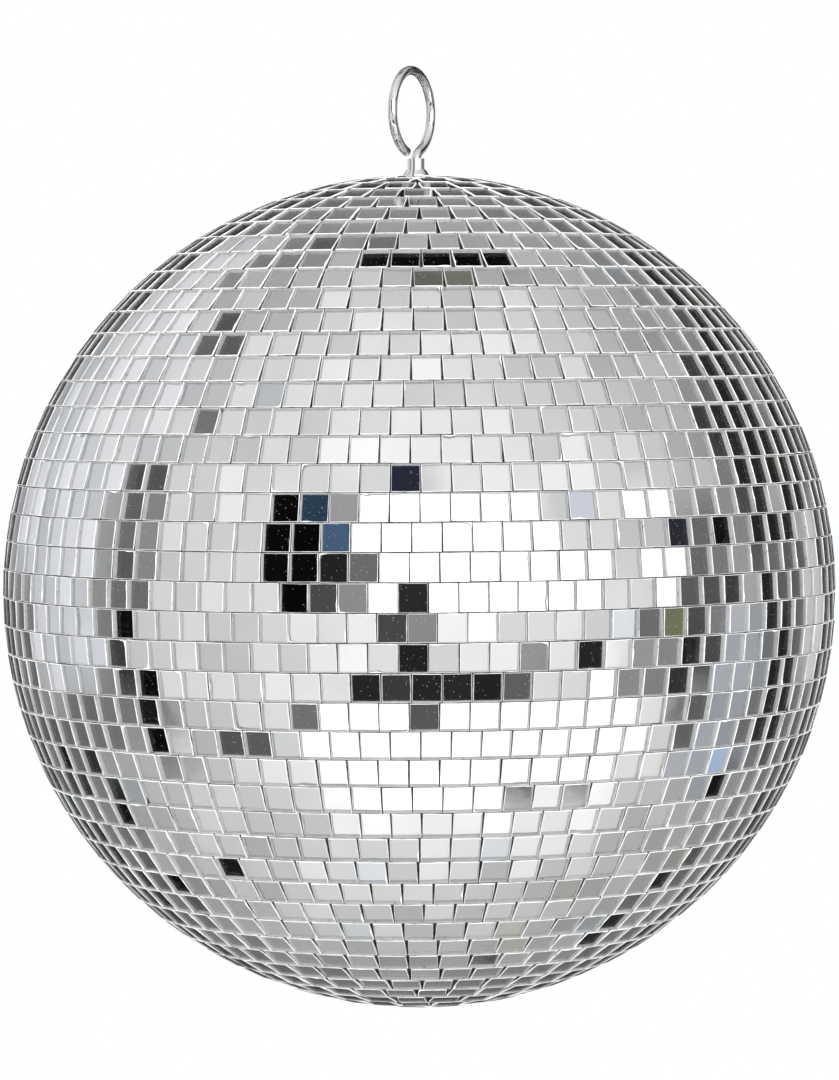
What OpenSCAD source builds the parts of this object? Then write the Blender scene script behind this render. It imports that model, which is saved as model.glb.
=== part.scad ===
// Mirror ball: square mirror tiles laid in rows on a hollow two-part plastic sphere.
// It hangs from a round wire eye whose straight shank swivels in a hollow stem bolt.
// Millimetres. The origin is where the hook bears, inside the top of the eye.
// +Z is up and is the spin axis. The eye lies in the XZ plane, its cut end towards -X.

/* [Ball] */
// Diameter over the tile faces
ball_d = 300; // [200:5:500]
// Wall of the plastic half shells
shell_t = 2.5; // [1.5:0.1:5]
// Thickness of the adhesive bed under the tiles
bed_t = 0.4; // [0.2:0.05:1]
// Height of the ring that joins the half shells inside
joint_ring_h = 16; // [8:1:30]
// Wall of that joint ring
joint_ring_t = 3; // [1.5:0.5:6]

/* [Mirror tiles] */
// Angle from one row of tiles to the next, in degrees
row_pitch = 3.868; // [3.85:0.001:3.87]
// Extra angle taken up by the last row before the pole, in degrees
row_spread = 0.8; // [0.8:0.05:1]
// Tile thickness, glass and backing together
tile_t = 2; // [1:0.1:3]
// Joint between two tiles at their backs
tile_gap = 0.33; // [0.3:0.01:0.6]
// Changes how the joints of neighbouring rows are staggered
laying_seed = 11; // [1:1:99]

/* [Hanging eye] */
// Diameter of the wire
wire_d = 3.2; // [2:0.1:5]
// Radius of the eye to the middle of the wire
eye_r = 15; // [10:0.5:25]
// Height of the eye's centre above the ball's centre
eye_h = 172.6; // [160:0.1:200]
// How far the eye's centre sits from the shank, towards the cut end
eye_offset = 3; // [0:0.5:5]
// Radius of the bend between the eye and its shank
bend_r = 4; // [2:0.5:5]
// Angle of open wire between the cut end and the bottom of the eye, in degrees
cut_angle = 13.5; // [10:0.5:30]

/* [Stem and anchor] */
// Outside diameter of the hollow stem bolt
stem_d = 6; // [5:0.1:8]
// Radial clearance of the swivelling shank in the stem bolt
swivel_clearance = 0.05; // [0.02:0.01:0.1]
// Height of the stem's top rim above the ball's centre
stem_top_h = 156; // [153:0.1:156]
// Diameter of the collar's flange, where the stem leaves the ball
collar_d = 9.2; // [9:0.1:10]
// Diameter of the anchor plate inside the ball
plate_d = 44; // [40:1:60]
// Thickness of the anchor plate
plate_t = 2; // [1:0.5:4]
// Pitch circle of the anchor screws
screw_pcd = 32; // [28:1:36]

/* [Hidden] */
$fn = 96;
ball_r = ball_d / 2;
back_r = ball_r - tile_t;
bed_r = back_r - 0.05;
shell_r = bed_r - bed_t - 0.05;
shell_inner_r = shell_r - shell_t;
rows = 22;
tile = 2 * back_r * tan(row_pitch / 2) - tile_gap;
joint_ring_r = sqrt(pow(shell_inner_r, 2) - pow(joint_ring_h / 2, 2)) - 0.08;

ring_z = -sqrt(pow(eye_r - wire_d / 2, 2) - pow(eye_offset, 2));
ball_z = ring_z - eye_h;
bend_z = ring_z - sqrt(pow(eye_r + bend_r, 2) - pow(eye_offset + bend_r, 2));
bend_angle = atan2(ring_z - bend_z, -(eye_offset + bend_r));

pole_hole_r = 5.4;
plate_top = shell_inner_r - 9.5;
plate_z = plate_top - plate_t;
spring_washer_t = 1.6;
head_h = 4;
head_z = plate_z - spring_washer_t - head_h;
thrust_washer_t = 1.2;
thrust_z = head_z - thrust_washer_t;
eye_washer_t = 0.8;
eye_washer_z = thrust_z - 0.05 - eye_washer_t;
nut_af = 5.5;
nut_h = 2.4;
nut_z = eye_washer_z - nut_h;
lock_nut_h = 1.8;
lock_nut_z = nut_z - lock_nut_h - 0.1;
shank_end_z = lock_nut_z - 2.4;

// Latitude of the middle of row k, counted from the equator; rows spread slightly near the pole.
function row_lat(k) = (k + 0.5) * row_pitch + row_spread * pow(k / (rows - 1), 3);

// Distance from the spin axis to the poleward back edge of row k, its tightest place.
function row_reach(k) = back_r * cos(row_lat(k)) - tile / 2 * sin(row_lat(k));

// As many whole tiles as go round row k.
function row_count(k) = floor(180 / atan((tile + 0.3) / 2 / row_reach(k)));

// Where each row starts, upper rows then lower: the layer never lined one row up with the next.
starts = rands(0, 360, 2 * rows, laying_seed);
function row_start(k, side) = starts[side > 0 ? k : rows + k];

// ---- Shapes that several pieces share ----

// A length of wire bent to radius r in the XZ plane, between two angles from +X.
module wire_arc(r, d, from, to) {
    rotate([90, 0, 0])
        rotate([0, 0, from])
            rotate_extrude(angle = to - from)
                translate([r, 0])
                    circle(d = d, $fn = 48);
}

// A washer or other flat ring standing on z.
module ring(z, h, outer_d, inner_d) {
    translate([0, 0, ball_z + z])
        difference() {
            cylinder(d = outer_d, h = h);
            translate([0, 0, -1])
                cylinder(d = inner_d, h = h + 2);
        }
}

// A hexagon nut on the eye's shank, its corners turned off on both faces.
module nut(z, h) {
    translate([0, 0, ball_z + z])
        difference() {
            intersection() {
                cylinder(d = nut_af / cos(30), h = h, $fn = 6);
                cylinder(d1 = nut_af, d2 = nut_af + 2 * h, h = h);
                cylinder(d1 = nut_af + 2 * h, d2 = nut_af, h = h);
            }
            translate([0, 0, -1])
                cylinder(d = wire_d + 0.1, h = h + 2);
        }
}

// The upper half of a hollow sphere about the ball's centre.
module upper_half(outer_r, inner_r) {
    difference() {
        sphere(r = outer_r);
        sphere(r = inner_r);
        translate([-ball_r, -ball_r, -2 * ball_r])
            cube([2 * ball_r, 2 * ball_r, 2 * ball_r]);
    }
}

// One row of square tiles. side is 1 above the equator and -1 below it.
module tile_row(k, side) {
    n = row_count(k);
    for (i = [0:n - 1])
        rotate([0, -side * row_lat(k), row_start(k, side) + i * 360 / n])
            translate([back_r, -tile / 2, -tile / 2])
                cube([tile_t, tile, tile]);
}

// A band is two neighbouring rows. Band 1 touches the equator.
module tile_band(band, side) {
    color("silver")
        translate([0, 0, ball_z]) {
            tile_row(2 * band - 2, side);
            tile_row(2 * band - 1, side);
        }
}

// The ring of nipped tiles that fills from the last row in to the pole.
module pole_wedges(side) {
    n = row_count(rows - 1);
    outer = row_reach(rows - 1) - 0.4;
    middle = (outer + pole_hole_r) / 2;
    half = (outer - pole_hole_r) / 2;
    outer_w = outer * tan(180 / n) - tile_gap / 2;
    inner_w = pole_hole_r * tan(180 / n) - tile_gap / 2;
    for (i = [0:n - 1])
        rotate([0, -side * acos(middle / back_r), row_start(rows - 1, side) + i * 360 / n])
            translate([back_r, 0, 0])
                rotate([90, 0, 90])
                    linear_extrude(height = tile_t)
                        polygon([
                            [-outer_w, -side * half],
                            [outer_w, -side * half],
                            [inner_w, side * half],
                            [-inner_w, side * half]
                        ]);
}

// ---- The eye, which stays still on its hook ----

// Open wire eye, the offset bend under it and the straight shank, all one wire.
// The wire is a hair thicker in the tight bend, and the other lengths run a little way into it.
module hanging_eye() {
    color("gainsboro") {
        translate([-eye_offset, 0, ring_z])
            wire_arc(eye_r, wire_d, bend_angle - 181, 270 - cut_angle);
        translate([bend_r, 0, bend_z])
            wire_arc(bend_r, wire_d + 0.04, bend_angle, 180);
        translate([0, 0, ball_z + shank_end_z + 0.5])
            cylinder(d = wire_d, h = bend_z + 0.2 - ball_z - shank_end_z - 0.5);
        translate([0, 0, ball_z + shank_end_z])
            cylinder(d1 = wire_d - 1, d2 = wire_d, h = 0.5);
    }
}

// Steel washer that carries the ball on the shank's nuts.
module eye_washer() {
    color("lightgray")
        ring(eye_washer_z, eye_washer_t, 8, wire_d + 0.2);
}

module eye_nut() {
    color("silver")
        nut(nut_z, nut_h);
}

// Thin nut locked against the first.
module eye_lock_nut() {
    color("silver")
        nut(lock_nut_z, lock_nut_h);
}

// ---- The stem and what anchors it in the ball ----

// Hollow bolt through the top of the ball; its bore is the eye's swivel bearing.
module stem_bolt() {
    bore_d = wire_d + 2 * swivel_clearance;
    color("silver")
        translate([0, 0, ball_z])
            difference() {
                union() {
                    translate([0, 0, head_z])
                        cylinder(d = 10 / cos(30), h = head_h, $fn = 6);
                    translate([0, 0, head_z + 1])
                        cylinder(d = stem_d, h = stem_top_h - head_z - 1);
                }
                translate([0, 0, head_z - 1])
                    cylinder(d = bore_d, h = stem_top_h - head_z + 2);
                translate([0, 0, stem_top_h - 0.9])
                    cylinder(d1 = bore_d, d2 = bore_d + 2, h = 1.2);
            }
}

// Flared collar screwed down on the stem against the outside of the ball.
module stem_collar() {
    flange_h = 2.6;
    color("silver")
        translate([0, 0, ball_z + shell_r + 0.05])
            difference() {
                union() {
                    cylinder(d = collar_d, h = flange_h);
                    translate([0, 0, flange_h])
                        cylinder(d1 = collar_d, d2 = stem_d + 0.8, h = 1.9);
                }
                translate([0, 0, -1])
                    cylinder(d = stem_d + 0.1, h = 6);
            }
}

// Nylon washer on which the bolt head turns.
module thrust_washer() {
    color("ivory")
        ring(thrust_z, thrust_washer_t, 9, wire_d + 0.6);
}

// Split spring washer under the bolt head.
module spring_washer() {
    color("gray")
        difference() {
            ring(plate_z - spring_washer_t, spring_washer_t, 10, stem_d + 0.2);
            translate([4, 0, ball_z + plate_z - spring_washer_t / 2])
                rotate([25, 0, 0])
                    cube([6, 0.7, 4], center = true);
        }
}

// Round steel plate that spreads the ball's weight over the boss of the upper shell.
module anchor_plate() {
    color("darkgray")
        difference() {
            ring(plate_z, plate_t, plate_d, stem_d + 0.4);
            for (a = [0:120:240])
                rotate([0, 0, a])
                    translate([screw_pcd / 2, 0, ball_z + plate_z - 1])
                        cylinder(d = 3, h = plate_t + 2);
        }
}

// Three slotted screws from the plate up into the boss.
module anchor_screws() {
    color("dimgray")
        for (a = [0:120:240])
            rotate([0, 0, a])
                translate([screw_pcd / 2, 0, ball_z + plate_z])
                    difference() {
                        union() {
                            translate([0, 0, -2])
                                cylinder(d = 5.6, h = 2);
                            translate([0, 0, -1])
                                cylinder(d = 2.5, h = plate_t + 7);
                        }
                        translate([-4, -0.4, -3])
                            cube([8, 0.8, 1.9]);
                    }
}

// ---- The sphere under the tiles ----

// Upper half shell, with the solid boss that the stem and screws go into.
module upper_shell() {
    color("whitesmoke")
        translate([0, 0, ball_z])
            difference() {
                union() {
                    upper_half(shell_r, shell_inner_r);
                    intersection() {
                        sphere(r = shell_r - shell_t / 2);
                        translate([0, 0, plate_top])
                            cylinder(d = plate_d, h = 20);
                    }
                }
                translate([0, 0, plate_top - 1])
                    cylinder(d = stem_d + 0.3, h = 20);
                for (a = [0:120:240])
                    rotate([0, 0, a])
                        translate([screw_pcd / 2, 0, plate_top - 1])
                            cylinder(d = 2.6, h = 8);
            }
}

module lower_shell() {
    color("whitesmoke")
        translate([0, 0, ball_z])
            mirror([0, 0, 1])
                upper_half(shell_r, shell_inner_r);
}

// Ring glued inside both rims, which closes the sphere at the equator.
module shell_joint_ring() {
    color("whitesmoke")
        translate([0, 0, ball_z])
            difference() {
                cylinder(r = joint_ring_r, h = joint_ring_h, center = true);
                cylinder(r = joint_ring_r - joint_ring_t, h = joint_ring_h + 2, center = true);
            }
}

module upper_adhesive_bed() {
    color("linen")
        translate([0, 0, ball_z])
            difference() {
                upper_half(bed_r, bed_r - bed_t);
                translate([0, 0, shell_inner_r])
                    cylinder(r = pole_hole_r, h = 10);
            }
}

module lower_adhesive_bed() {
    color("linen")
        translate([0, 0, ball_z])
            mirror([0, 0, 1])
                upper_half(bed_r, bed_r - bed_t);
}

// ---- Mirror tiles ----

module upper_pole_tiles() {
    color("silver")
        translate([0, 0, ball_z])
            pole_wedges(1);
}

// The bottom of the ball has no stem, so one more nipped tile closes the pole.
module lower_pole_tiles() {
    n = row_count(rows - 1);
    color("silver")
        translate([0, 0, ball_z]) {
            pole_wedges(-1);
            translate([0, 0, -ball_r])
                rotate([0, 0, row_start(rows - 1, -1) + 180 / n])
                    cylinder(r = (pole_hole_r - tile_gap) / cos(180 / n), h = tile_t, $fn = n);
        }
}

// ---- Assembly ----

hanging_eye();
eye_washer();
eye_nut();
eye_lock_nut();
stem_bolt();
stem_collar();
thrust_washer();
spring_washer();
anchor_plate();
anchor_screws();
upper_shell();
lower_shell();
shell_joint_ring();
upper_adhesive_bed();
lower_adhesive_bed();
upper_pole_tiles();
lower_pole_tiles();
tile_band(1, 1);  // upper_tile_band_01
tile_band(2, 1);  // upper_tile_band_02
tile_band(3, 1);  // upper_tile_band_03
tile_band(4, 1);  // upper_tile_band_04
tile_band(5, 1);  // upper_tile_band_05
tile_band(6, 1);  // upper_tile_band_06
tile_band(7, 1);  // upper_tile_band_07
tile_band(8, 1);  // upper_tile_band_08
tile_band(9, 1);  // upper_tile_band_09
tile_band(10, 1);  // upper_tile_band_10
tile_band(11, 1);  // upper_tile_band_11
tile_band(1, -1);  // lower_tile_band_01
tile_band(2, -1);  // lower_tile_band_02
tile_band(3, -1);  // lower_tile_band_03
tile_band(4, -1);  // lower_tile_band_04
tile_band(5, -1);  // lower_tile_band_05
tile_band(6, -1);  // lower_tile_band_06
tile_band(7, -1);  // lower_tile_band_07
tile_band(8, -1);  // lower_tile_band_08
tile_band(9, -1);  // lower_tile_band_09
tile_band(10, -1);  // lower_tile_band_10
tile_band(11, -1);  // lower_tile_band_11
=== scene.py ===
"""Looks of the mirror ball: detailed tiles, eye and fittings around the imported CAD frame."""
import math
import random

import bmesh
import bpy
import numpy as np
from mathutils import Matrix, Vector


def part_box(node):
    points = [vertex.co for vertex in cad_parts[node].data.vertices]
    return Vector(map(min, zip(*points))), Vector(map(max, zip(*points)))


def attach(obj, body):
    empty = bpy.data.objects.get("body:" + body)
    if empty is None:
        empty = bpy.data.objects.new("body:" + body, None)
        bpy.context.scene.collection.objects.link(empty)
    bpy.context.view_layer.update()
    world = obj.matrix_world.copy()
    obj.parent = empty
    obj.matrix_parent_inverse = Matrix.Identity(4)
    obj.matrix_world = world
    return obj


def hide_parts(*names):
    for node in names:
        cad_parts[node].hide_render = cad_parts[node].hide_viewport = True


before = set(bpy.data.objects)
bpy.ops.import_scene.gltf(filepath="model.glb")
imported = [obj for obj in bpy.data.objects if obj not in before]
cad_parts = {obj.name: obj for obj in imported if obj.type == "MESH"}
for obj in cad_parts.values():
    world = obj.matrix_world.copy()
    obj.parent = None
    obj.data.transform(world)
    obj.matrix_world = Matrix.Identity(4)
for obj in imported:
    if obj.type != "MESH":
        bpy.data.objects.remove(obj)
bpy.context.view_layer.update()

MM = 0.001
CENTRE = Vector((0.0, 0.0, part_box("upper_shell")[0].z))
TILE_NODES = sorted(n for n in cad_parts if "_tile" in n)
CAMERA_AZ = math.radians(-62.7)
CAMERA_EL = math.radians(2.84)


# ---------------------------------------------------------------- node helpers

def new_material(name):
    mat = bpy.data.materials.new(name)
    mat.use_nodes = True
    nt = mat.node_tree
    bsdf = next(n for n in nt.nodes if n.type == "BSDF_PRINCIPLED")
    return mat, nt, bsdf


def add(nt, kind, **values):
    """A node with its properties and input defaults set by name."""
    node = nt.nodes.new(kind)
    for key, value in values.items():
        if hasattr(node, key):
            setattr(node, key, value)
        else:
            node.inputs[key].default_value = value
    return node


def math_node(nt, op, a, b=None, c=None, clamp=False):
    node = nt.nodes.new("ShaderNodeMath")
    node.operation = op
    node.use_clamp = clamp
    for i, v in enumerate((a, b, c)):
        if v is None:
            continue
        if isinstance(v, bpy.types.NodeSocket):
            nt.links.new(v, node.inputs[i])
        else:
            node.inputs[i].default_value = v
    return node.outputs[0]


def mix_colour(nt, factor, a, b, blend="MIX"):
    node = nt.nodes.new("ShaderNodeMix")
    node.data_type = "RGBA"
    node.blend_type = blend
    for index, v in ((0, factor), (6, a), (7, b)):
        if isinstance(v, bpy.types.NodeSocket):
            nt.links.new(v, node.inputs[index])
        elif index == 0:
            node.inputs[0].default_value = v
        else:
            node.inputs[index].default_value = (*v, 1.0) if len(v) == 3 else v
    return node.outputs[2]


def noise(nt, vector, scale, detail=3.0, rough=0.5):
    node = add(nt, "ShaderNodeTexNoise", Scale=scale, Detail=detail, Roughness=rough)
    nt.links.new(vector, node.inputs["Vector"])
    return node.outputs[0]


def ramp(nt, value, low, high, to_low=0.0, to_high=1.0):
    """value taken smoothly from low..high to to_low..to_high."""
    node = nt.nodes.new("ShaderNodeMapRange")
    node.interpolation_type = "SMOOTHSTEP"
    for key, v in (("From Min", low), ("From Max", high), ("To Min", to_low), ("To Max", to_high)):
        node.inputs[key].default_value = v
    nt.links.new(value, node.inputs["Value"])
    return node.outputs["Result"]


def object_coords(nt):
    return nt.nodes.new("ShaderNodeTexCoord").outputs["Object"]


def bump(nt, bsdf, height, strength, distance):
    node = add(nt, "ShaderNodeBump", Strength=strength, Distance=distance)
    nt.links.new(height, node.inputs["Height"])
    nt.links.new(node.outputs[0], bsdf.inputs["Normal"])


def grey(level):
    """Linear value of an even grey given as a share of full display white."""
    return level / 12.92 if level <= 0.04045 else ((level + 0.055) / 1.055) ** 2.4


# ------------------------------------------------------------------- materials

def tile_tone(nt):
    """Three random numbers that each tile carries."""
    node = nt.nodes.new("ShaderNodeAttribute")
    node.attribute_name = "tile_tone"
    sep = nt.nodes.new("ShaderNodeSeparateColor")
    nt.links.new(node.outputs["Color"], sep.inputs[0])
    return sep.outputs


def material_glass():
    """Clear float glass, with a little dust lying on it."""
    mat, nt, bsdf = new_material("tile_glass")
    bsdf.inputs["Base Color"].default_value = (0.992, 0.996, 0.993, 1.0)
    bsdf.inputs["Transmission Weight"].default_value = 1.0
    bsdf.inputs["IOR"].default_value = 1.5
    dust = ramp(nt, noise(nt, object_coords(nt), 900.0, 2.0, 0.6), 0.64, 0.80, 0.0, 0.08)
    nt.links.new(dust, bsdf.inputs["Roughness"])
    return mat


def speckles(nt, coords, scale, share, size):
    """1 in small round spots: one cell in so many of a scatter of cells, each spot its own size."""
    cells = add(nt, "ShaderNodeTexVoronoi", feature="F1", Scale=scale)
    nt.links.new(coords, cells.inputs["Vector"])
    sep = nt.nodes.new("ShaderNodeSeparateColor")
    nt.links.new(cells.outputs["Color"], sep.inputs[0])
    radius = ramp(nt, sep.outputs[0], 1.0 - share, 1.0, 0.0, size)
    return math_node(nt, "GREATER_THAN", math_node(nt, "SUBTRACT", radius, cells.outputs["Distance"]), 0.0)


def material_silvering():
    """Silver behind the glass: a mirror whose tone differs from tile to tile, with pale specks."""
    mat, nt, bsdf = new_material("tile_silvering")
    r, g, b = tile_tone(nt)
    base = mix_colour(nt, ramp(nt, r, 0.0, 1.0), (0.73, 0.74, 0.74), (0.93, 0.93, 0.925))
    olive = mix_colour(nt, ramp(nt, g, 0.990, 0.991), (1.0, 1.0, 1.0), (0.95, 0.95, 0.88))
    blue = mix_colour(nt, ramp(nt, g, 0.010, 0.009), (1.0, 1.0, 1.0), (0.93, 0.96, 1.0))
    base = mix_colour(nt, 1.0, base, olive, "MULTIPLY")
    base = mix_colour(nt, 1.0, base, blue, "MULTIPLY")
    coords = object_coords(nt)
    specks = speckles(nt, coords, 1500.0, 0.40, 0.20)
    nt.links.new(base, bsdf.inputs["Base Color"])
    nt.links.new(math_node(nt, "MULTIPLY_ADD", specks, -0.25, 1.0), bsdf.inputs["Metallic"])
    rough = math_node(nt, "MULTIPLY_ADD", specks, 0.5, ramp(nt, b, 0.6, 1.0, 0.0, 0.025))
    nt.links.new(rough, bsdf.inputs["Roughness"])
    bump(nt, bsdf, noise(nt, coords, 160.0, 1.0), 0.006, 0.0004)
    return mat


def material_cut_edge():
    """Cut and chipped edge of a tile: white, rough and uneven."""
    mat, nt, bsdf = new_material("tile_cut_edge")
    coords = object_coords(nt)
    grain = noise(nt, coords, 3500.0, 3.0, 0.65)
    stain = ramp(nt, noise(nt, coords, 700.0, 3.0, 0.6), 0.60, 0.72)
    tone = mix_colour(nt, ramp(nt, grain, 0.35, 0.65), (0.86, 0.87, 0.87), (0.97, 0.975, 0.975))
    nt.links.new(mix_colour(nt, stain, tone, (0.42, 0.42, 0.41)), bsdf.inputs["Base Color"])
    nt.links.new(ramp(nt, grain, 0.3, 0.7, 0.35, 0.65), bsdf.inputs["Roughness"])
    bump(nt, bsdf, grain, 0.4, 0.0002)
    return mat


def material_adhesive_and_joint_shade():
    """Rubbery adhesive with grit in it, near black: partly its own dark tone, partly painted shade where
    it shows in the joints between tiles.
    """
    mat, nt, bsdf = new_material("tile_adhesive")
    coords = object_coords(nt)
    cloud = noise(nt, coords, 420.0, 4.0, 0.6)
    fine = noise(nt, coords, 2200.0, 3.0, 0.6)
    # The near-black cloud is painted shade for the joints between tiles, where this adhesive shows.
    tone = mix_colour(nt, ramp(nt, cloud, 0.38, 0.66), (0.02, 0.02, 0.02), (0.15, 0.148, 0.143))
    tone = mix_colour(nt, ramp(nt, fine, 0.66, 0.74), tone, (0.62, 0.62, 0.61))
    nt.links.new(tone, bsdf.inputs["Base Color"])
    nt.links.new(ramp(nt, fine, 0.3, 0.7, 0.55, 0.9), bsdf.inputs["Roughness"])
    bump(nt, bsdf, fine, 0.5, 0.0003)
    return mat


def material_plated(name, tone, low, high, grain=0.03):
    """Bright plating, duller in faint stains, with a fine grain."""
    mat, nt, bsdf = new_material(name)
    bsdf.inputs["Metallic"].default_value = 1.0
    coords = object_coords(nt)
    stains = noise(nt, coords, 420.0, 4.0, 0.6)
    fine = noise(nt, coords, 2200.0, 3.0, 0.6)
    dull = tuple(v * 0.7 for v in tone)
    base = mix_colour(nt, ramp(nt, stains, 0.58, 0.74), tone, dull)
    nt.links.new(base, bsdf.inputs["Base Color"])
    nt.links.new(ramp(nt, stains, 0.50, 0.72, low, high), bsdf.inputs["Roughness"])
    bump(nt, bsdf, fine, grain, 0.00005)
    return mat


def material_plastic(name, tone, rough, grain=1400.0):
    mat, nt, bsdf = new_material(name)
    coords = object_coords(nt)
    fine = noise(nt, coords, grain, 3.0, 0.55)
    cloud = noise(nt, coords, 40.0, 3.0)
    base = mix_colour(nt, ramp(nt, cloud, 0.3, 0.7), tone, tuple(v * 0.9 for v in tone))
    nt.links.new(base, bsdf.inputs["Base Color"])
    nt.links.new(ramp(nt, fine, 0.3, 0.7, rough - 0.08, rough + 0.08), bsdf.inputs["Roughness"])
    bump(nt, bsdf, fine, 0.25, 0.0002)
    return mat


GLASS = material_glass()
SILVERING = material_silvering()
CUT_EDGE = material_cut_edge()
ADHESIVE_AND_JOINT_SHADE = material_adhesive_and_joint_shade()
WIRE = material_plated("plated_wire", (0.83, 0.83, 0.82), 0.02, 0.10)
FITTING = material_plated("plated_fitting", (0.88, 0.88, 0.87), 0.03, 0.14)
ZINC = material_plated("zinc_plate", (0.60, 0.61, 0.62), 0.28, 0.42, 0.1)
PLATE = material_plated("rolled_plate", (0.45, 0.45, 0.46), 0.35, 0.55, 0.2)
NYLON = material_plastic("nylon", (0.82, 0.80, 0.74), 0.45)
SHELL = material_plastic("shell_plastic", (0.78, 0.78, 0.76), 0.55)

CAD_LOOKS = {
    "stem_bolt": FITTING,
    "stem_collar": FITTING,
    "eye_washer": ZINC,
    "eye_nut": ZINC,
    "eye_lock_nut": ZINC,
    "spring_washer": ZINC,
    "anchor_screws": ZINC,
    "anchor_plate": PLATE,
    "thrust_washer": NYLON,
    "upper_shell": SHELL,
    "lower_shell": SHELL,
    "shell_joint_ring": SHELL,
    "upper_adhesive_bed": ADHESIVE_AND_JOINT_SHADE,
    "lower_adhesive_bed": ADHESIVE_AND_JOINT_SHADE,
}


def give_material(obj, mat):
    obj.data.materials.clear()
    obj.data.materials.append(mat)


for node_name, look in CAD_LOOKS.items():
    give_material(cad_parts[node_name], look)


# ----------------------------------------------------------------------- tiles

SAME_CORNER = 0.02 * MM
AT_THE_POLE = 0.9999

# Points along each side of a tile's outline, and along the adhesive round it, and how far from
# even their spacing is, as a share of the side.
EDGE_STEPS = 4
SQUEEZE_STEPS = 3
UNEVEN_STEP = 0.06
GLASS_FACE, SILVER_FACE, EDGE_FACE = 0, 1, 2

# How tiles come out of the cutter, with sizes in mm and the rest as shares.
SIZE_ERROR = (-0.03, 0.04)
RIM_WIDTH = (0.04, 0.10)
RIM_UNEVENNESS = (0.5, 1.5)
RIM_SLOPE = (0.6, 1.1)
EDGE_NOTCH = (0.0, 0.04)
CHIPPED_SHARE = 0.25
CHIP_WIDTH = (0.15, 0.45)
CHIP_DROP = (0.05, 0.25)
CHIP_NOTCH = (0.0, 0.10)

# How they are laid, with places in mm and angles in degrees. The silvered back keeps clear of
# the adhesive bed.
BACK_CLEARANCE = 0.19
PRESSED_IN = (-0.14, -0.07)
PLACE_ERROR = 0.03
ROUGHLY_LAID_SHARE = 0.06
USUAL_TILT, ROUGH_TILT, MOST_TILT = 0.38, 1.0, 1.4
USUAL_TURN, MOST_TURN = 0.4, 1.0

# The adhesive squeezed up between them, in mm.
SQUEEZE_DEPTH = (0.30, 0.75)
SQUEEZE_LEAST_DEPTH = 0.15
SQUEEZE_REACH = (0.20, 0.25)
SQUEEZE_GAP = 0.05
SQUEEZE_FOOT = 0.15
SQUEEZE_SLUMP = (0.0, 0.15)
SQUEEZE_UNEVENNESS = (-0.2, 0.2)


def separate_solids(node_name):
    """The corners of each solid in a node, measured from the ball's centre."""
    bm = bmesh.new()
    bm.from_mesh(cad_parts[node_name].data)
    bmesh.ops.remove_doubles(bm, verts=bm.verts, dist=SAME_CORNER)
    seen, solids = set(), []
    for start in bm.verts:
        if start.index in seen or not start.link_edges:
            continue
        corners, stack = [], [start]
        seen.add(start.index)
        while stack:
            v = stack.pop()
            corners.append(v.co - CENTRE)
            for e in v.link_edges:
                w = e.other_vert(v)
                if w.index not in seen:
                    seen.add(w.index)
                    stack.append(w)
        solids.append(corners)
    bm.free()
    return solids


def tile_outline(corners):
    """One tile's place, the outline of its back, its thickness and its normal.

    The place's axes are east, north and the tile's outward normal, at the middle of its back.
    """
    normal = (sum(corners, Vector()) / len(corners)).normalized()
    if abs(normal.z) > AT_THE_POLE:
        normal = Vector((0, 0, math.copysign(1.0, normal.z)))
        east = Vector((1, 0, 0))
    else:
        east = Vector((0, 0, 1)).cross(normal).normalized()
    north = normal.cross(east)
    depth = [p.dot(normal) for p in corners]
    back, front = min(depth), max(depth)
    flat = [(p.dot(east), p.dot(north)) for p, d in zip(corners, depth) if d < (back + front) / 2]
    mx = sum(p[0] for p in flat) / len(flat)
    my = sum(p[1] for p in flat) / len(flat)
    flat = sorted(((x - mx, y - my) for x, y in flat), key=lambda p: math.atan2(p[1], p[0]))
    origin = CENTRE + normal * back + east * mx + north * my
    axes = Matrix((east, north, normal)).transposed().to_4x4()
    return Matrix.Translation(origin) @ axes, flat, front - back, normal


def tile_outlines(node_name):
    """The tiles of a node, row by row and round each row: (place, outline of the back, thickness)."""
    tiles = [tile_outline(corners) for corners in separate_solids(node_name)]
    tiles.sort(key=lambda t: (round(math.asin(t[3].z), 2), math.atan2(t[3].y, t[3].x)))
    return [t[:3] for t in tiles]


def walk_outline(outline, steps, rng):
    """Points along an outline, each with its inward vector: (x, y, inward x, inward y)."""
    n = len(outline)
    inward = []
    for i in range(n):
        (ax, ay), (bx, by) = outline[i], outline[(i + 1) % n]
        length = math.hypot(bx - ax, by - ay)
        inward.append(((ay - by) / length, (bx - ax) / length))
    walk = []
    for i in range(n):
        (ax, ay), (bx, by) = outline[i], outline[(i + 1) % n]
        for s in range(steps):
            t = s / steps + (rng.uniform(-UNEVEN_STEP, UNEVEN_STEP) if s else 0.0)
            nx, ny = inward[i]
            if s == 0:
                nx, ny = nx + inward[i - 1][0], ny + inward[i - 1][1]
            walk.append((ax + (bx - ax) * t, ay + (by - ay) * t, nx, ny))
    return walk


def band_faces(low, high, count):
    """Quads between two closed loops of count points that start at low and high."""
    return [(low + k, low + (k + 1) % count, high + (k + 1) % count, high + k) for k in range(count)]


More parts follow.
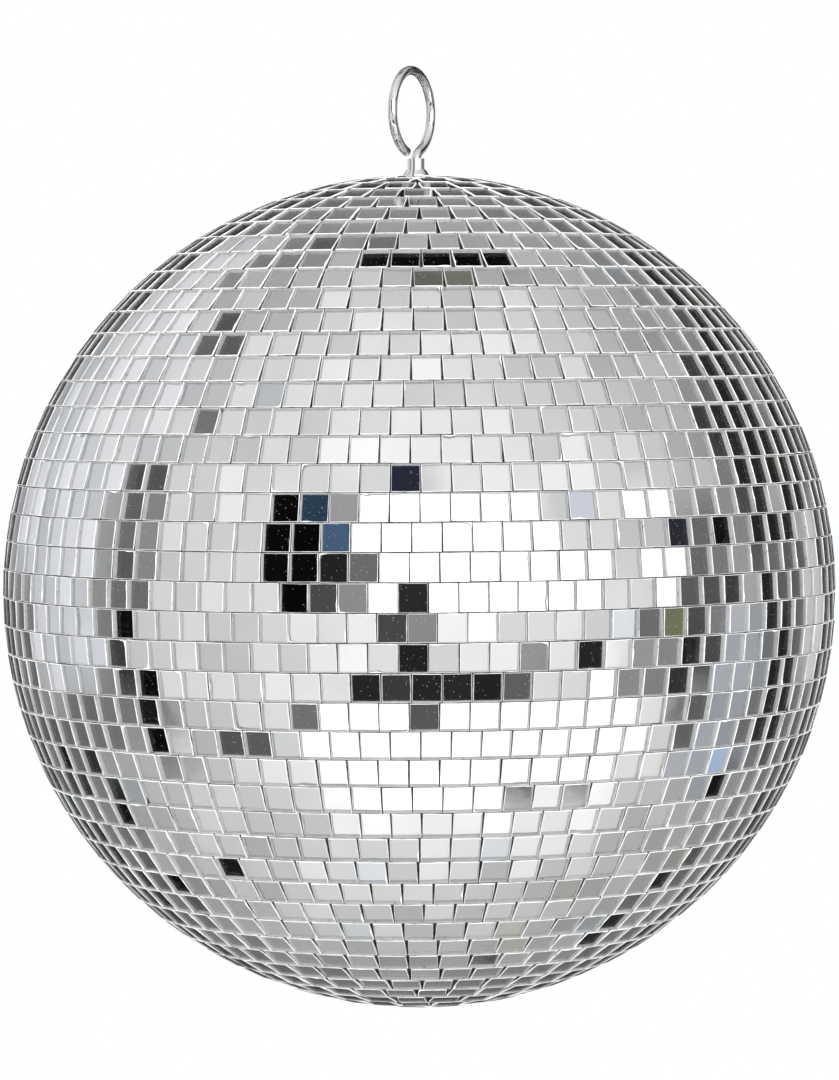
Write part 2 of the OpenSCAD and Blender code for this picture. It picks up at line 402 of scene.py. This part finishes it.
class Layer:
    """Collects the solids of one piece into one mesh, each with its own random tone."""

    def __init__(self, materials):
        self.materials = materials
        self.verts, self.faces, self.mats, self.tones = [], [], [], []

    def add(self, place, points, faces, tone):
        base = len(self.verts)
        self.verts += [tuple(place @ Vector(p)) for p in points]
        for loop, mat in faces:
            self.faces.append(tuple(base + v for v in loop))
            self.mats.append(mat)
            self.tones.append((tone, len(loop)))

    def build(self, name):
        me = bpy.data.meshes.new(name)
        me.from_pydata(self.verts, [], self.faces)
        for mat in self.materials:
            me.materials.append(mat)
        me.polygons.foreach_set("material_index", self.mats)
        layer = me.color_attributes.new("tile_tone", "FLOAT_COLOR", "CORNER")
        tones = np.array([c for tone, count in self.tones for _ in range(count) for c in tone], np.float32)
        layer.data.foreach_set("color", tones)
        me.update()
        obj = bpy.data.objects.new(name, me)
        bpy.context.collection.objects.link(obj)
        return obj


def add_tile(layer, place, outline, thick, rng):
    """One cut tile: flat front, chipped rim, four straight sides and a silvered back."""
    size = max(max(abs(x), abs(y)) for x, y in outline)
    scale = 1.0 + rng.uniform(*SIZE_ERROR) * MM / size
    back = [(x * scale, y * scale) for x, y in outline]
    walk = walk_outline(back, EDGE_STEPS, rng)
    n, total = len(back), len(walk)
    rim_mean = rng.uniform(*RIM_WIDTH) * MM
    chip_at = rng.randrange(total) if rng.random() < CHIPPED_SHARE else -1
    rim_low, rim_high = [], []
    for k, (x, y, nx, ny) in enumerate(walk):
        notch = rng.uniform(*EDGE_NOTCH) * MM
        rim = rim_mean * rng.uniform(*RIM_UNEVENNESS)
        drop = rim * rng.uniform(*RIM_SLOPE)
        if k == chip_at:
            rim += rng.uniform(*CHIP_WIDTH) * MM
            drop += rng.uniform(*CHIP_DROP) * MM
            notch += rng.uniform(*CHIP_NOTCH) * MM
        rim_low.append((x + nx * notch, y + ny * notch, thick - drop))
        rim_high.append((x + nx * (notch + rim), y + ny * (notch + rim), thick))
    low, high = n, n + total
    faces = [(tuple(range(high, high + total)), GLASS_FACE)]
    faces += [(f, EDGE_FACE) for f in band_faces(low, high, total)]
    for i in range(n):
        top = [low + (i * EDGE_STEPS + s) % total for s in range(EDGE_STEPS + 1)]
        faces.append(((i, (i + 1) % n, *reversed(top)), EDGE_FACE))
    faces.append((tuple(reversed(range(n))), SILVER_FACE))
    tone = (rng.random(), rng.random(), rng.random(), 1.0)
    layer.add(place, [(x, y, BACK_CLEARANCE * MM) for x, y in back] + rim_low + rim_high, faces, tone)


def add_squeeze(layer, place, outline, thick, rng):
    """The adhesive squeezed up round a tile: a low uneven wall that half fills the joint, its near-black
    colour a painted shade for the joint.
    """
    walk = walk_outline(outline, SQUEEZE_STEPS, rng)
    total = len(walk)
    depth = rng.uniform(*SQUEEZE_DEPTH)
    foot = SQUEEZE_FOOT * MM
    loops = [[], [], [], []]
    for x, y, nx, ny in walk:
        near, far = -SQUEEZE_GAP * MM, -rng.uniform(*SQUEEZE_REACH) * MM
        top = thick - max(SQUEEZE_LEAST_DEPTH, depth + rng.uniform(*SQUEEZE_UNEVENNESS)) * MM
        slump = rng.uniform(*SQUEEZE_SLUMP) * MM
        for loop, out, z in zip(loops, (near, far, far, near), (foot, foot, top - slump, top)):
            loop.append((x + nx * out, y + ny * out, z))
    faces = []
    for i in range(4):
        faces += [(f, 0) for f in band_faces(i * total, (i + 1) % 4 * total, total)]
    layer.add(place, [p for loop in loops for p in loop], faces, (0.5, 0.5, 0.5, 1.0))


def small_turn(rng, usual, most, axis):
    """A random turn about an axis, in degrees, with nothing beyond the most."""
    angle = max(-most, min(most, rng.gauss(0, usual)))
    return Matrix.Rotation(math.radians(angle), 4, axis)


def lay_tiles(node_name, seed, squeeze):
    """Lays a node's tiles by hand: each a little off its place, its level and its square."""
    rng = random.Random(seed)
    layer = Layer((GLASS, SILVERING, CUT_EDGE))
    for place, outline, thick in tile_outlines(node_name):
        tilt = USUAL_TILT if rng.random() > ROUGHLY_LAID_SHARE else ROUGH_TILT
        east, north = rng.gauss(0, PLACE_ERROR) * MM, rng.gauss(0, PLACE_ERROR) * MM
        shift = Matrix.Translation((east, north, rng.uniform(*PRESSED_IN) * MM))
        lean = small_turn(rng, tilt, MOST_TILT, "X") @ small_turn(rng, tilt, MOST_TILT, "Y")
        lean = lean @ small_turn(rng, USUAL_TURN, MOST_TURN, "Z")
        add_tile(layer, place @ shift @ lean, outline, thick, rng)
        add_squeeze(squeeze, place @ shift @ lean, outline, thick, rng)
    piece = layer.build("laid_" + node_name)
    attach(piece, "ball")
    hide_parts(node_name)


for half, first_seed in (("upper", 1000), ("lower", 2000)):
    # The squeezed adhesive is near black and paints the shade in the joints between tiles.
    squeezed = Layer((ADHESIVE_AND_JOINT_SHADE,))
    for index, tile_node in enumerate(n for n in TILE_NODES if n.startswith(half)):
        lay_tiles(tile_node, first_seed + index, squeezed)
    piece = squeezed.build("squeezed_adhesive_" + half)
    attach(piece, "ball")


# ------------------------------------------------------------------ wire eye

EYE_LOW, EYE_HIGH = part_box("hanging_eye")
WIRE_R = EYE_HIGH.y
EYE_R = (EYE_HIGH.x - EYE_LOW.x) / 2 - WIRE_R
EYE_CENTRE_X = (EYE_HIGH.x + EYE_LOW.x) / 2
EYE_CENTRE_Z = EYE_HIGH.z - WIRE_R - EYE_R
# The bend between eye and shank, and how far the cut end stops short of the eye's lowest point.
BEND_R = 4.0 * MM
CUT_ANGLE = math.radians(13.5)
SHANK_CHAMFER = 0.5 * MM


def eye_path():
    """The wire's middle from its cut end round the eye, through the bend and down the shank: (x, z)."""
    across = BEND_R - EYE_CENTRE_X
    bend_z = EYE_CENTRE_Z - math.sqrt((EYE_R + BEND_R) ** 2 - across ** 2)
    meet = math.atan2(EYE_CENTRE_Z - bend_z, -across)
    start, end = 1.5 * math.pi - CUT_ANGLE, meet - math.pi
    ring_steps, bend_steps, shank_steps = 150, 20, 12
    path = []
    for i in range(ring_steps):
        a = start + (end - start) * i / ring_steps
        path.append((EYE_CENTRE_X + EYE_R * math.cos(a), EYE_CENTRE_Z + EYE_R * math.sin(a)))
    for i in range(bend_steps):
        a = meet + (math.pi - meet) * i / bend_steps
        path.append((BEND_R + BEND_R * math.cos(a), bend_z + BEND_R * math.sin(a)))
    foot = EYE_LOW.z + SHANK_CHAMFER
    path += [(0.0, bend_z + (foot - bend_z) * i / shank_steps) for i in range(shank_steps + 1)]
    path.append((0.0, EYE_LOW.z))
    return path


# Marks that the pliers left: mm along the wire from the cut end, radians round it, depth in mm.
PLIER_MARKS = [
    (3.4, 2.4, 0.10),
    (4.6, 2.1, 0.13),
    (6.1, 2.6, 0.07),
    (5.2, -0.6, 0.09),
    (41.0, 1.9, 0.08),
    (43.5, 2.2, 0.10),
    (46.0, 1.7, 0.07),
    (48.2, 2.3, 0.06),
]
# How far one mark reaches: mm along the wire, radians round it.
MARK_LENGTH, MARK_SPREAD = 0.45, 0.5
# How much of its radius the wire loses at the nipped end, and over what length.
NIPPED_SHARE, NIPPED_LENGTH = 0.26, 0.22 * MM


def plier_dent(along, angle):
    """How deep the plier marks are at a place on the wire, in mm."""
    depth = 0.0
    for at, middle, deepest in PLIER_MARKS:
        off = math.remainder(angle - middle, 2 * math.pi)
        depth += deepest * math.exp(-((along - at) / MARK_LENGTH) ** 2 - (off / MARK_SPREAD) ** 2)
    return depth


def bent_wire_eye():
    """The eye's wire, swept along its path: nipped off bluntly at one end, pinched where it was bent."""
    path, around = eye_path(), 40
    verts, run = [], 0.0
    for i, (x, z) in enumerate(path):
        (px, pz), (qx, qz) = path[max(0, i - 1)], path[min(len(path) - 1, i + 1)]
        run += math.hypot(x - px, z - pz)
        length = math.hypot(qx - px, qz - pz)
        side = Vector((-(qz - pz) / length, 0.0, (qx - px) / length))
        blunt = 1.0 - NIPPED_SHARE * math.exp(-run / NIPPED_LENGTH)
        radius = WIRE_R * blunt if i < len(path) - 1 else WIRE_R - SHANK_CHAMFER
        for k in range(around):
            a = 2 * math.pi * k / around
            r = radius - plier_dent(run / MM, a) * MM
            out = side * (r * math.cos(a)) + Vector((0, r * math.sin(a), 0))
            verts.append(tuple(Vector((x, 0.0, z)) + out))
    faces = []
    for i in range(len(path) - 1):
        faces += [f[::-1] for f in band_faces(i * around, (i + 1) * around, around)]
    faces.append(tuple(range(around)))
    faces.append(tuple(reversed(range(len(verts) - around, len(verts)))))
    me = bpy.data.meshes.new("bent_wire_eye")
    me.from_pydata(verts, [], faces)
    me.materials.append(WIRE)
    me.polygons.foreach_set("use_smooth", [len(f) == 4 for f in faces])
    me.update()
    obj = bpy.data.objects.new("bent_wire_eye", me)
    bpy.context.collection.objects.link(obj)
    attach(obj, "eye")
    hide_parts("hanging_eye")


bent_wire_eye()


# ------------------------------------------------------------- studio, camera

# The studio floor in metres, its depth taken from the ball's centre.
FLOOR_DROP, FLOOR_RADIUS = 1.45, 1.3


def stage_mesh(name, verts, faces):
    me = bpy.data.meshes.new(name)
    me.from_pydata(verts, [], faces)
    me.update()
    obj = bpy.data.objects.new(name, me)
    bpy.context.collection.objects.link(obj)
    return obj


def studio_floor():
    """Pale round floor well below the hanging ball."""
    z, steps = CENTRE.z - FLOOR_DROP, 64
    turns = [2 * math.pi * i / steps for i in range(steps)]
    ring = [(FLOOR_RADIUS * math.cos(a), FLOOR_RADIUS * math.sin(a), z) for a in turns]
    floor = stage_mesh("studio_floor", ring, [tuple(range(steps))])
    mat, nt, bsdf = new_material("studio_floor")
    cloud = ramp(nt, noise(nt, object_coords(nt), 3.0), 0.3, 0.7)
    tone = mix_colour(nt, cloud, (0.82, 0.82, 0.82), (0.86, 0.86, 0.86))
    nt.links.new(tone, bsdf.inputs["Base Color"])
    bsdf.inputs["Roughness"].default_value = 0.7
    give_material(floor, mat)
    floor.visible_glossy = False
    floor.visible_transmission = False


# What stands round the ball in the studio, as soft-edged areas of the surround, later ones over
# earlier ones: azimuth from and to in degrees (0 is towards the camera, positive to its right),
# elevation from and to, softness, and the colour or grey in display values.
BROAD_AREAS = [
    (-159, -88, 18, 46, 4, (0.845, 0.845, 0.86)),
    (-159, -99, -15, 20, 4, (0.85, 0.855, 0.88)),
    (-166, -138, 44, 62, 6, 0.50),
    (-168, -134, -36, 0, 5, 0.44),
    (-136, -86, -27, -15, 4, 0.44),
    (-97, -85, -36, 20, 2, 0.44),
    (-80, -16, -25, 34, 4, 0.86),
    (-32, 76, -26, 1, 3, 0.92),
    (-45, 80, -66, -28, 10, 0.95),
    (-38, 70, -47, -26, 5, 1.25),
    (-25, 45, -59, -40, 6, 1.25),
    (-15.5, 40, -1.5, 30.5, 1.5, 1.28),
    (38, 50, -1.5, 13, 2, 1.2),
    (6, 30, 30, 38, 2, 0.97),
    (51, 71, -31, -16, 2, 1.2),
    (90, 121, -36, -5, 3, (0.65, 0.66, 0.69)),
    (97, 107, 5, 31, 3, 0.55),
    (106, 162, 4, 31, 3, 0.16),
    (152, 208, -27, 27, 6, 0.24),
    (132, 147, -11, 5, 2, 0.76),
    (121, 126, 9, 15, 1.5, 0.62),
    (138, 143, 15, 22, 1.5, 0.55),
    (147, 157, -22, 8, 2, 0.27),
]
OVERHEAD_AREAS = [
    (162, 206, 70, 78, 1, 0.05),
    (147, 163, 67, 77, 1, 0.05),
    (134, 149, 64.5, 76, 1, 0.05),
    (146, 172, 78.5, 86, 1.5, (0.42, 0.42, 0.39)),
    (126, 146, 73.5, 82.5, 1.5, (0.47, 0.47, 0.44)),
    (-160, -151, 51, 60, 1.5, 0.36),
    (-170, -160, 60.5, 67, 1.5, 0.45),
    (-119, -107, 49, 55, 1, 0.38),
    (-108, -98, 46, 52, 1, 0.38),
    (12, 22, 48, 56, 1, 0.95),
]
LEFT_STAND_AREAS = [
    (-84, -77, 35, 40.5, 1, 0.50),
    (-87, -78, 28, 34.5, 1, 0.38),
    (-94, -84, 19, 27, 1, 0.30),
    (-91, -83, 3, 19, 1.5, 0.36),
    (-82.5, -77, 4, 23, 1, 0.52),
    (-98, -91, 2, 8, 1, 0.45),
    (-104, -97, -4, 2, 1.5, 0.55),
    (-97, -81, -3.5, 3.5, 1.5, 0.40),
    (-91, -81, -10.5, -3, 1, 0.05),
    (-95, -89, -10, -3, 1, 0.50),
    (-93, -83, -17, -10, 1, 0.05),
    (-90, -80, -23, -16, 1, 0.05),
    (-88, -78.5, -28.5, -21.5, 1, 0.10),
    (-95, -84.5, -34, -26.5, 1, 0.05),
    (-86, -79, -38.5, -33, 1, 0.45),
    (-66, -56, -38, -31, 1, 0.32),
    (-57, -47.5, -38.5, -31.5, 1, 0.33),
    (-41, -32.5, -33.5, -26, 1, 0.42),
    (-146, -137, -20, -14, 1.5, 0.12),
    (-131, -119, -35, -29.5, 1.5, 0.08),
    (-149, -138, -40, -34, 1.5, 0.08),
    (-127, -120, -27, -22, 1, 0.20),
    (-138, -131, -28, -23, 1, 0.20),
    (-157, -149, -30, -22, 1, 0.20),
    (-117, -105, -57, -51, 1, 0.10),
]
CAMERA_STAND_AREAS = [
    (-46, -32.5, 19.5, 28, 0.8, 0.045),
    (-32.5, -24, 20, 28, 0.8, (0.17, 0.24, 0.32)),
    (-24, -15.5, 20, 28, 0.8, 0.62),
    (-42, -25, 12.5, 20, 0.8, 0.045),
    (-25, -17, 12.5, 20.5, 0.8, (0.30, 0.40, 0.52)),
    (-16.5, -9, 5.5, 14, 2, 0.45),
    (-41, -25, 4.5, 12.5, 0.8, 0.045),
    (-24.8, -16.5, 4.5, 12.5, 0.8, 0.16),
    (-38, -30.5, -3, 4.5, 0.8, 0.04),
    (-30.5, -22.5, -3, 4.5, 0.8, 0.30),
    (-22.5, -15, -3, 4.5, 0.8, 0.58),
    (-4, 4.5, 29.5, 36.5, 1.5, (0.17, 0.18, 0.24)),
    (-6, 3, -3, 5, 0.8, 0.17),
    (-14.5, -7, -10.3, -3, 0.8, 0.25),
    (-7, 2.5, -10.3, -3, 0.8, 0.55),
    (-9, -1, -18, -10.5, 0.8, 0.16),
    (24, 32.5, -18, -10.5, 0.8, 0.60),
    (41.5, 49.5, -18, -10.5, 0.8, 0.15),
    (-20.5, 22, -26.5, -18.5, 0.8, 0.15),
    (22, 30.5, -26.5, -18.5, 0.8, 0.40),
    (-12, -4, -26.5, -18.5, 0.8, 0.22),
    (-6, 3, -35, -26.5, 1, 0.36),
    (37, 46, -52.7, -50, 1.2, 0.30),
    (59, 68, -48.4, -45.8, 1.2, 0.30),
]
RIGHT_STAND_AREAS = [
    (73, 93, -12, 18, 2, 0.44),
    (112, 133, -24, 4, 2, 0.40),
    (46, 55, 19, 28, 1, (0.80, 0.81, 0.86)),
    (62.5, 73, 18.5, 26, 1.5, 1.2),
    (66.5, 75.5, -2, 11, 1.5, 1.15),
    (74.5, 82, 4, 17, 1, (0.19, 0.19, 0.24)),
    (82, 91, 4, 17, 1.5, 0.42),
    (75.5, 91, -3.5, 4, 1, 0.36),
    (76, 91, -10, -3.5, 1, 0.33),
    (60, 67.5, -10, -3.5, 1, 0.43),
    (68, 75, -10, -3.5, 0.8, (0.45, 0.46, 0.37)),
    (57, 74.5, -17, -10, 1, 0.55),
    (75, 82.5, -17, -10, 1, 0.10),
    (82.5, 91, -17, -10, 1, 0.27),
    (63, 73, -23, -17, 1, 0.56),
    (73, 81, -23, -17, 1, 0.20),
    (82, 91, -29, -19, 1, 0.38),
    (93, 100, 8, 14.5, 0.8, 0.08),
    (92, 99, -3, 4, 1, 0.25),
    (109, 115, -2.5, 3, 0.8, 0.13),
    (108.5, 114.5, 5.5, 10.5, 0.8, 0.15),
    (114, 127, -15, -4, 1.5, 0.13),
    (120, 133, -23, -9, 1.5, 0.17),
    (103, 114, -33.5, -27, 1.5, (0.60, 0.67, 0.78)),
    (112, 121, -33, -27, 1, 0.10),
    (133, 143, -38, -32, 1, 0.36),
    (135, 146, -45.5, -39, 1, 0.17),
    (148, 157, -47, -40.5, 1, 0.17),
    (157, 165, -62, -55, 1.5, 0.27),
    (100, 110, 27.5, 32.5, 1, 0.25),
    (117, 127, 31, 36.5, 1, 0.25),
]
# Share of a grey's light that a tile sends back, which the areas' display values allow for.
TILE_REFLECTANCE = 0.84

# Light of the surround behind the ball, beside it and towards the camera, and of floor and ceiling.
REAR_LEVEL, SIDE_LEVEL, FRONT_LEVEL = 0.02, 0.57, 1.0
BOUNCE_LEVEL = 0.20
# Light that reaches what scatters it: the tiles' white edges and the adhesive.
SCATTERED_LEVEL = 1.75


def area_group():
    """Node group that paints one soft-edged area of the surround over what is there already.

    It hands the direction on with a nothing of the colour added, so that Cycles works the areas out
    one after another. All of them at once are more than its shader stack holds.
    """
    group = bpy.data.node_groups.new("surround_area", "ShaderNodeTree")
    for name, kind in (("direction", "Vector"), ("colour", "Color"), ("middle", "Vector"),
                       ("slope", "Vector"), ("offset", "Vector"), ("tone", "Color")):
        group.interface.new_socket(name, in_out="INPUT", socket_type="NodeSocket" + kind)
    group.interface.new_socket("direction", in_out="OUTPUT", socket_type="NodeSocketVector")
    group.interface.new_socket("colour", in_out="OUTPUT", socket_type="NodeSocketColor")
    source, sink = group.nodes.new("NodeGroupInput").outputs, group.nodes.new("NodeGroupOutput").inputs

    def vector_node(op, a, *rest):
        node = add(group, "ShaderNodeVectorMath", operation=op)
        group.links.new(a, node.inputs[0])
        for i, v in enumerate(rest, 1):
            if isinstance(v, bpy.types.NodeSocket):
                group.links.new(v, node.inputs[i])
            else:
                node.inputs[i].default_value = (v, v, v)
        return node.outputs[0]

    away = vector_node("SUBTRACT", source["direction"], source["middle"])
    away = vector_node("ABSOLUTE", vector_node("WRAP", away, 180.0, -180.0))
    share = vector_node("MULTIPLY_ADD", away, source["slope"], source["offset"])
    sep = group.nodes.new("ShaderNodeSeparateXYZ")
    group.links.new(share, sep.inputs[0])
    inside = math_node(group, "MINIMUM", sep.outputs[0], sep.outputs[1])
    colour = mix_colour(group, inside, source["colour"], source["tone"])
    group.links.new(colour, sink["colour"])
    group.links.new(vector_node("MULTIPLY_ADD", colour, 1e-9, source["direction"]), sink["direction"])
    return group


def reflected_studio(nt):
    """Colour of the studio as the ball reflects it, by direction."""
    sep = nt.nodes.new("ShaderNodeSeparateXYZ")
    turn = add(nt, "ShaderNodeVectorRotate", rotation_type="Z_AXIS")
    turn.inputs["Angle"].default_value = -CAMERA_AZ
    nt.links.new(nt.nodes.new("ShaderNodeTexCoord").outputs["Generated"], turn.inputs["Vector"])
    nt.links.new(turn.outputs[0], sep.inputs[0])
    x, y, z = sep.outputs
    front = math_node(nt, "MULTIPLY", y, -1.0)
    direction = nt.nodes.new("ShaderNodeCombineXYZ")
    nt.links.new(math_node(nt, "DEGREES", math_node(nt, "ARCTAN2", x, front)), direction.inputs[0])
    nt.links.new(math_node(nt, "DEGREES", math_node(nt, "ARCSINE", z)), direction.inputs[1])
    falloff = nt.nodes.new("ShaderNodeValToRGB")
    nt.links.new(math_node(nt, "MULTIPLY_ADD", front, 0.5, 0.5), falloff.inputs[0])
    stops = falloff.color_ramp.elements
    stops[1].color = (FRONT_LEVEL, FRONT_LEVEL, FRONT_LEVEL, 1.0)
    stops.new(0.5).color = (SIDE_LEVEL, SIDE_LEVEL, SIDE_LEVEL, 1.0)
    stops[0].color = (REAR_LEVEL, REAR_LEVEL, REAR_LEVEL, 1.0)
    steepness = math_node(nt, "POWER", math_node(nt, "ABSOLUTE", z), 2.0)
    bounce = math_node(nt, "MULTIPLY", steepness, BOUNCE_LEVEL)
    cloud = ramp(nt, noise(nt, turn.outputs[0], 2.2, 2.0), 0.3, 0.7, 0.94, 1.06)
    colour = mix_colour(nt, 1.0, falloff.outputs[0], bounce, "ADD")
    colour = mix_colour(nt, 1.0, colour, cloud, "MULTIPLY")
    direction = direction.outputs[0]
    group = area_group()
    for az0, az1, el0, el1, soft, tone in (
        BROAD_AREAS + OVERHEAD_AREAS + LEFT_STAND_AREAS + CAMERA_STAND_AREAS + RIGHT_STAND_AREAS
    ):
        area = nt.nodes.new("ShaderNodeGroup")
        area.node_tree = group
        nt.links.new(direction, area.inputs["direction"])
        nt.links.new(colour, area.inputs["colour"])
        wide, high = (az1 - az0) / 2, (el1 - el0) / 2
        area.inputs["middle"].default_value = ((az0 + az1) / 2, (el0 + el1) / 2, 0.0)
        area.inputs["slope"].default_value = (-1 / soft, -1 / soft, 0.0)
        area.inputs["offset"].default_value = (wide / soft + 0.5, high / soft + 0.5, 0.0)
        rgb = tone if isinstance(tone, tuple) else (tone, tone, tone)
        area.inputs["tone"].default_value = (*(grey(v) / TILE_REFLECTANCE for v in rgb), 1.0)
        direction, colour = area.outputs["direction"], area.outputs["colour"]
    unevenness = ramp(nt, noise(nt, turn.outputs[0], 9.0, 3.0), 0.3, 0.7, 0.80, 1.12)
    return mix_colour(nt, 1.0, colour, unevenness, "MULTIPLY")


def studio_world():
    """White behind the ball; its mirrors see the studio, and its white edges a large soft light."""
    world = bpy.data.worlds.new("studio")
    bpy.context.scene.world = world
    world.use_nodes = True
    nt = world.node_tree
    nt.nodes.clear()

    def background(colour):
        node = nt.nodes.new("ShaderNodeBackground")
        if isinstance(colour, bpy.types.NodeSocket):
            nt.links.new(colour, node.inputs["Color"])
        else:
            node.inputs["Color"].default_value = (*colour, 1.0)
        return node.outputs[0]

    def choose(factor, a, b):
        node = nt.nodes.new("ShaderNodeMixShader")
        for socket, value in zip(node.inputs, (factor, a, b)):
            nt.links.new(value, socket)
        return node.outputs[0]

    path = nt.nodes.new("ShaderNodeLightPath").outputs
    scattered = math_node(nt, "GREATER_THAN", path["Diffuse Depth"], 0.5)
    surround = choose(scattered, background(reflected_studio(nt)), background((SCATTERED_LEVEL,) * 3))
    surround = choose(path["Is Camera Ray"], surround, background((1.0, 1.0, 1.0)))
    nt.links.new(surround, nt.nodes.new("ShaderNodeOutputWorld").inputs["Surface"])


def soft_light(name, azimuth, elevation, distance, size, power):
    data = bpy.data.lights.new(name, "AREA")
    data.shape = "RECTANGLE"
    data.size, data.size_y = size
    data.energy = power
    light = bpy.data.objects.new(name, data)
    a, e = math.radians(azimuth) + CAMERA_AZ, math.radians(elevation)
    away = Vector((math.sin(a) * math.cos(e), -math.cos(a) * math.cos(e), math.sin(e)))
    light.location = CENTRE + away * distance
    light.rotation_euler = away.to_track_quat("Z", "Y").to_euler()
    light.visible_camera = False
    light.visible_glossy = False
    light.visible_transmission = False
    bpy.context.collection.objects.link(light)


# Lens and sensor in mm, distance from the ball's centre in metres.
LENS, SENSOR_WIDTH = 166.3, 36.0
CAMERA_DISTANCE = 1.8045
# Where the camera aims, from the ball's centre, and its roll, in degrees.
AIM_UP, AIM_RIGHT, ROLL = 0.584, 0.0067, 0.43


def camera():
    """Level with the ball and a little above its middle, at the distance of a long studio lens."""
    data = bpy.data.cameras.new("camera")
    data.lens = LENS
    data.sensor_width = SENSOR_WIDTH
    data.clip_start, data.clip_end = 0.05, 50.0
    cam = bpy.data.objects.new("camera", data)
    bpy.context.collection.objects.link(cam)
    bpy.context.scene.camera = cam
    back = Vector((
        math.sin(CAMERA_AZ) * math.cos(CAMERA_EL),
        -math.cos(CAMERA_AZ) * math.cos(CAMERA_EL),
        math.sin(CAMERA_EL),
    ))
    right = Vector((math.cos(CAMERA_AZ), math.sin(CAMERA_AZ), 0.0))
    up = back.cross(right)
    cam.location = CENTRE + back * CAMERA_DISTANCE
    aim_up, aim_right, roll = (math.radians(angle) for angle in (AIM_UP, AIM_RIGHT, ROLL))
    look = (-back + up * math.tan(aim_up) + right * math.tan(aim_right)).normalized()
    side = look.cross(up).normalized()
    top = side.cross(look)
    top, side = top * math.cos(roll) + side * math.sin(roll), side * math.cos(roll) - top * math.sin(roll)
    cam.matrix_world = Matrix.Translation(cam.location) @ Matrix((side, top, -look)).transposed().to_4x4()


studio_floor()
studio_world()
soft_light("key", azimuth=25, elevation=35, distance=2.2, size=(1.6, 1.2), power=16.0)
soft_light("fill", azimuth=-70, elevation=25, distance=2.4, size=(1.4, 1.4), power=9.0)
camera()
scene = bpy.context.scene
scene.view_settings.view_transform = "Standard"
scene.view_settings.look = "None"
